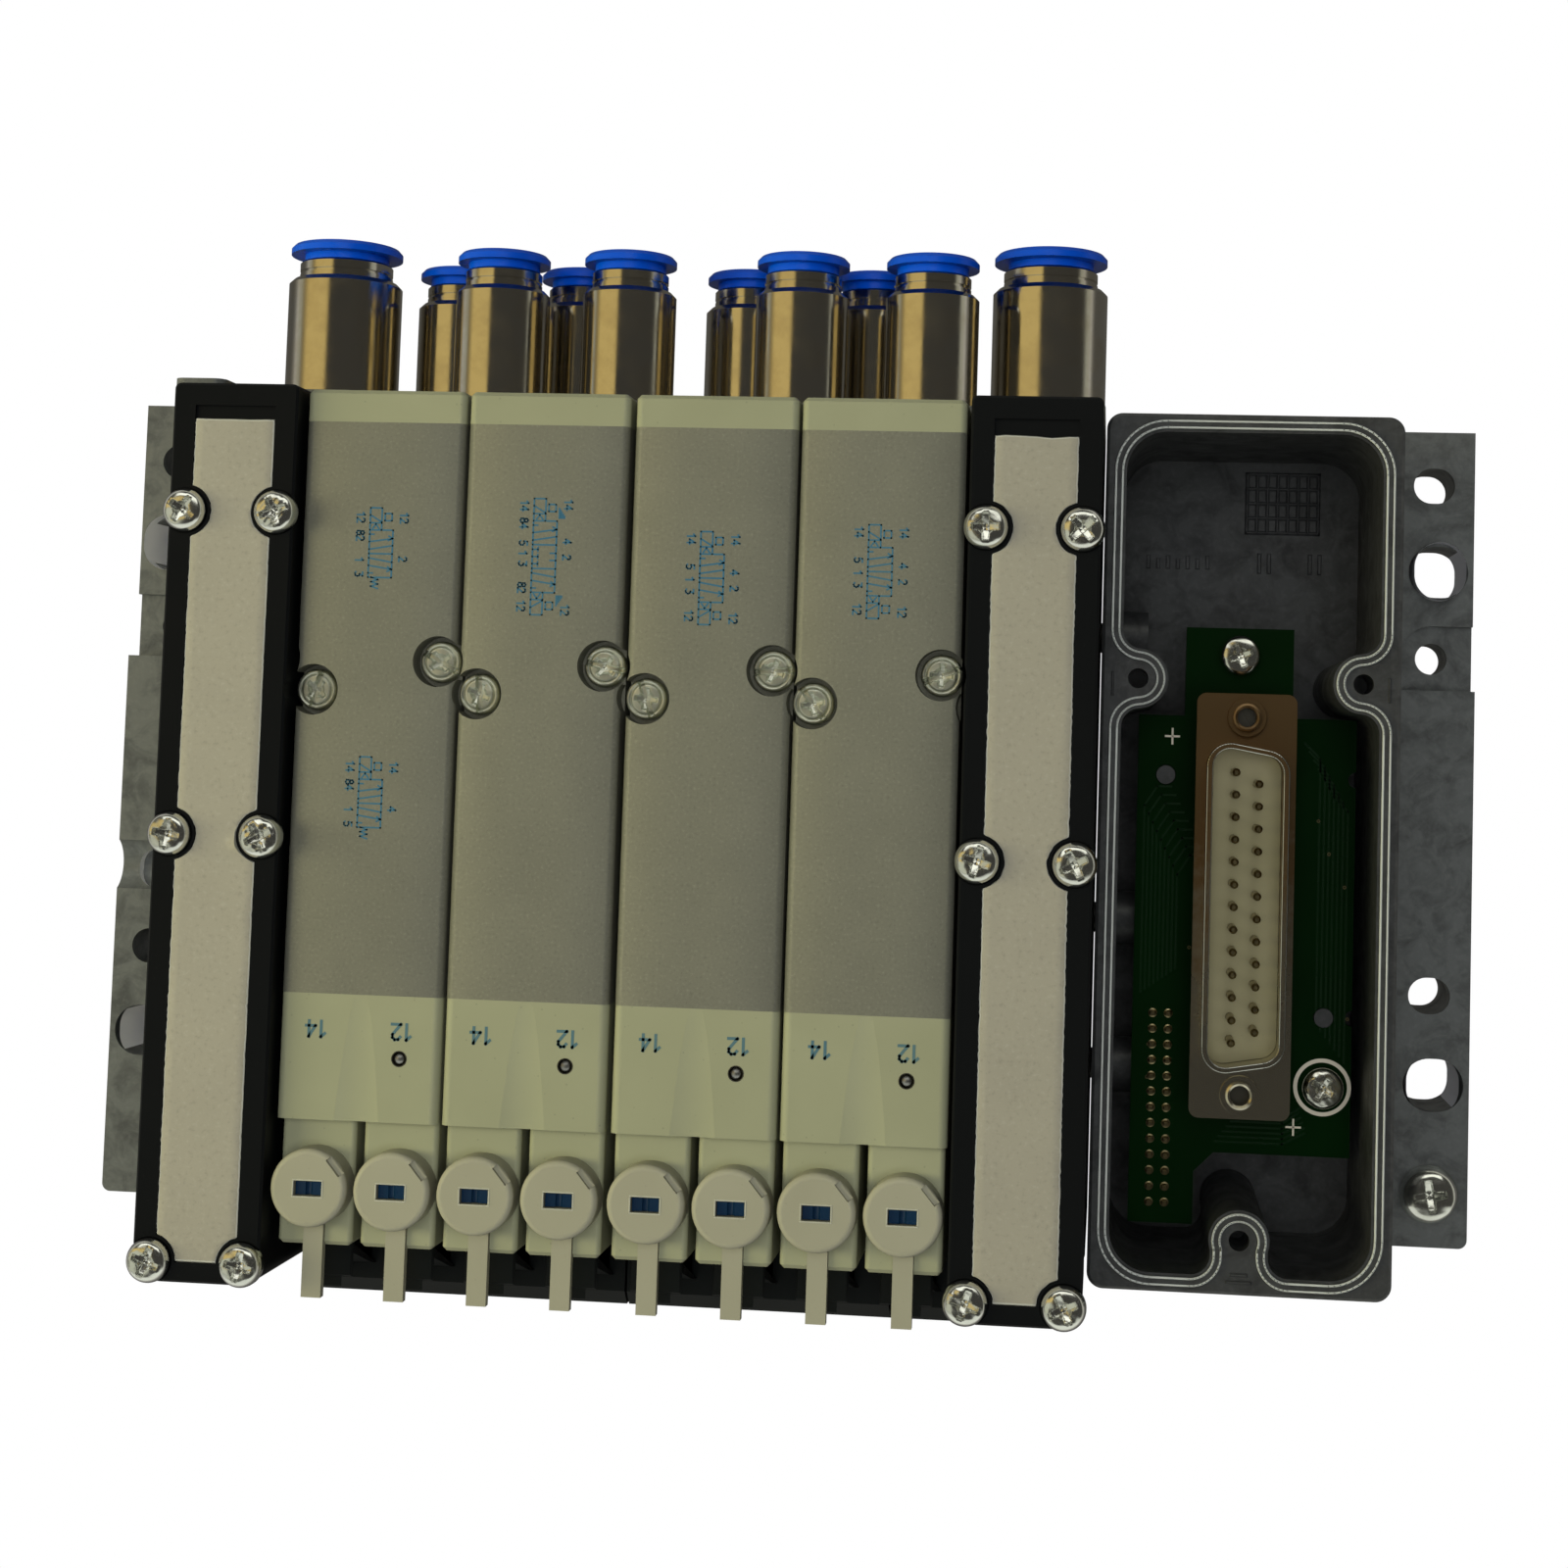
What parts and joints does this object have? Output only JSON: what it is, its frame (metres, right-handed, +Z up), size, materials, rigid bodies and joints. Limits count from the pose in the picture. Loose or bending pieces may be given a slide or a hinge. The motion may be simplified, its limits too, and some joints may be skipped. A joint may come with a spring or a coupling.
{
  "type": "pneumatic valve island",
  "caption": "Block-built pneumatic valve island with slice valves, push-in tube fittings, manual overrides and an open multi-pin connector housing.",
  "frame": {"origin": "centre of the four main fixing holes, on the mounting plane", "axes": "+X along the row of valves towards the connector housing, +Y out of the tube fittings, +Z up from the mounting plane"},
  "size_m": [0.1908, 0.1424, 0.0577],
  "materials": {
    "cast_plate": "rough die-cast, tumbled",
    "cast_block": "die-cast",
    "black_cover": "moulded",
    "label": "grey speckled strip",
    "black_module": "moulded",
    "satin_body": "satin, finely speckled",
    "white_housing": "moulded",
    "white_cap": "moulded",
    "blue_button": "moulded",
    "seal": "flat",
    "nickel_brass": "nickel plated",
    "blue_ring": "moulded",
    "spool": "ground",
    "cast_housing": "grey die-cast",
    "board": "solder mask",
    "tin_shell": "tinned",
    "ivory_insulator": "moulded",
    "contact": "plated",
    "steel": "zinc plated",
    "dull_screw": "dull zinc",
    "bright_screw": "bright zinc"
  },
  "bodies": {
    "island": {"block_seals": "seal", "circuit_board": "board", "connector_housing": "cast_housing", "connector_insulator": "ivory_insulator", "connector_shell": "tin_shell", "contact_pins": "contact", "electronics_module_1": "black_module", "electronics_module_2": "black_module", "fitting_bodies": "nickel_brass", "housing_screws": "bright_screw", "label_strips": "label", "left_end_plate": "cast_plate", "override_covers": "white_cap", "pilot_housing_1": "white_housing", "pilot_housing_2": "white_housing", "pilot_housing_3": "white_housing", "pilot_housing_4": "white_housing", "right_end_plate": "cast_plate", "solenoid_pair_1": "white_housing", "solenoid_pair_2": "white_housing", "solenoid_pair_3": "white_housing", "solenoid_pair_4": "white_housing", "sub_base_1": "cast_block", "sub_base_2": "cast_block", "supply_block_left": "cast_block", "supply_block_right": "cast_block", "supply_cover_left": "black_cover", "supply_cover_right": "black_cover", "supply_screws": "bright_screw", "tie_rods": "steel", "valve_body_1": "satin_body", "valve_body_2": "satin_body", "valve_body_3": "satin_body", "valve_body_4": "satin_body", "valve_end_caps": "white_housing", "valve_gaskets": "seal", "valve_screws": "dull_screw"},
    "override_button_1": {"override_button_1": "blue_button"},
    "override_button_2": {"override_button_2": "blue_button"},
    "override_button_3": {"override_button_3": "blue_button"},
    "override_button_4": {"override_button_4": "blue_button"},
    "override_button_5": {"override_button_5": "blue_button"},
    "override_button_6": {"override_button_6": "blue_button"},
    "override_button_7": {"override_button_7": "blue_button"},
    "override_button_8": {"override_button_8": "blue_button"},
    "release_ring_1": {"release_ring_1": "blue_ring"},
    "release_ring_2": {"release_ring_2": "blue_ring"},
    "release_ring_3": {"release_ring_3": "blue_ring"},
    "release_ring_4": {"release_ring_4": "blue_ring"},
    "release_ring_5": {"release_ring_5": "blue_ring"},
    "release_ring_6": {"release_ring_6": "blue_ring"},
    "release_ring_7": {"release_ring_7": "blue_ring"},
    "release_ring_8": {"release_ring_8": "blue_ring"},
    "release_ring_9": {"release_ring_9": "blue_ring"},
    "release_ring_10": {"release_ring_10": "blue_ring"},
    "spool_1_back": {"spool_1_back": "spool"},
    "spool_1_front": {"spool_1_front": "spool"},
    "spool_2": {"spool_2": "spool"},
    "spool_3": {"spool_3": "spool"},
    "spool_4": {"spool_4": "spool"}
  },
  "joints": [
    {"name": "override_press_1", "type": "slide", "parent": "island", "child": "override_button_1", "axis": [0, 0, -1], "range_m": [0, 0.0012], "stiffness_N_per_m": 200},
    {"name": "override_press_2", "type": "slide", "parent": "island", "child": "override_button_2", "axis": [0, 0, -1], "range_m": [0, 0.0012], "stiffness_N_per_m": 200},
    {"name": "override_press_3", "type": "slide", "parent": "island", "child": "override_button_3", "axis": [0, 0, -1], "range_m": [0, 0.0012], "stiffness_N_per_m": 200},
    {"name": "override_press_4", "type": "slide", "parent": "island", "child": "override_button_4", "axis": [0, 0, -1], "range_m": [0, 0.0012], "stiffness_N_per_m": 200},
    {"name": "override_press_5", "type": "slide", "parent": "island", "child": "override_button_5", "axis": [0, 0, -1], "range_m": [0, 0.0012], "stiffness_N_per_m": 200},
    {"name": "override_press_6", "type": "slide", "parent": "island", "child": "override_button_6", "axis": [0, 0, -1], "range_m": [0, 0.0012], "stiffness_N_per_m": 200},
    {"name": "override_press_7", "type": "slide", "parent": "island", "child": "override_button_7", "axis": [0, 0, -1], "range_m": [0, 0.0012], "stiffness_N_per_m": 200},
    {"name": "override_press_8", "type": "slide", "parent": "island", "child": "override_button_8", "axis": [0, 0, -1], "range_m": [0, 0.0012], "stiffness_N_per_m": 200},
    {"name": "release_push_1", "type": "slide", "parent": "island", "child": "release_ring_1", "axis": [0, -1, 0], "range_m": [0, 0.0008], "stiffness_N_per_m": 150},
    {"name": "release_push_2", "type": "slide", "parent": "island", "child": "release_ring_2", "axis": [0, -1, 0], "range_m": [0, 0.0008], "stiffness_N_per_m": 150},
    {"name": "release_push_3", "type": "slide", "parent": "island", "child": "release_ring_3", "axis": [0, -1, 0], "range_m": [0, 0.0008], "stiffness_N_per_m": 150},
    {"name": "release_push_4", "type": "slide", "parent": "island", "child": "release_ring_4", "axis": [0, -1, 0], "range_m": [0, 0.0008], "stiffness_N_per_m": 150},
    {"name": "release_push_5", "type": "slide", "parent": "island", "child": "release_ring_5", "axis": [0, -1, 0], "range_m": [0, 0.0008], "stiffness_N_per_m": 150},
    {"name": "release_push_6", "type": "slide", "parent": "island", "child": "release_ring_6", "axis": [0, -1, 0], "range_m": [0, 0.0008], "stiffness_N_per_m": 150},
    {"name": "release_push_7", "type": "slide", "parent": "island", "child": "release_ring_7", "axis": [0, -1, 0], "range_m": [0, 0.0008], "stiffness_N_per_m": 150},
    {"name": "release_push_8", "type": "slide", "parent": "island", "child": "release_ring_8", "axis": [0, -1, 0], "range_m": [0, 0.0008], "stiffness_N_per_m": 150},
    {"name": "release_push_9", "type": "slide", "parent": "island", "child": "release_ring_9", "axis": [0, -1, 0], "range_m": [0, 0.0008], "stiffness_N_per_m": 150},
    {"name": "release_push_10", "type": "slide", "parent": "island", "child": "release_ring_10", "axis": [0, -1, 0], "range_m": [0, 0.0008], "stiffness_N_per_m": 150},
    {"name": "spool_1_back_slide", "type": "slide", "parent": "island", "child": "spool_1_back", "axis": [0, 1, 0], "range_m": [0, 0.0025], "stiffness_N_per_m": 300},
    {"name": "spool_1_front_slide", "type": "slide", "parent": "island", "child": "spool_1_front", "axis": [0, -1, 0], "range_m": [0, 0.0025], "stiffness_N_per_m": 300},
    {"name": "spool_2_slide", "type": "slide", "parent": "island", "child": "spool_2", "axis": [0, 1, 0], "range_m": [-0.0025, 0.0025], "stiffness_N_per_m": 400},
    {"name": "spool_3_slide", "type": "slide", "parent": "island", "child": "spool_3", "axis": [0, 1, 0], "range_m": [0, 0.005]},
    {"name": "spool_4_slide", "type": "slide", "parent": "island", "child": "spool_4", "axis": [0, 1, 0], "range_m": [0, 0.005]}
  ]
}
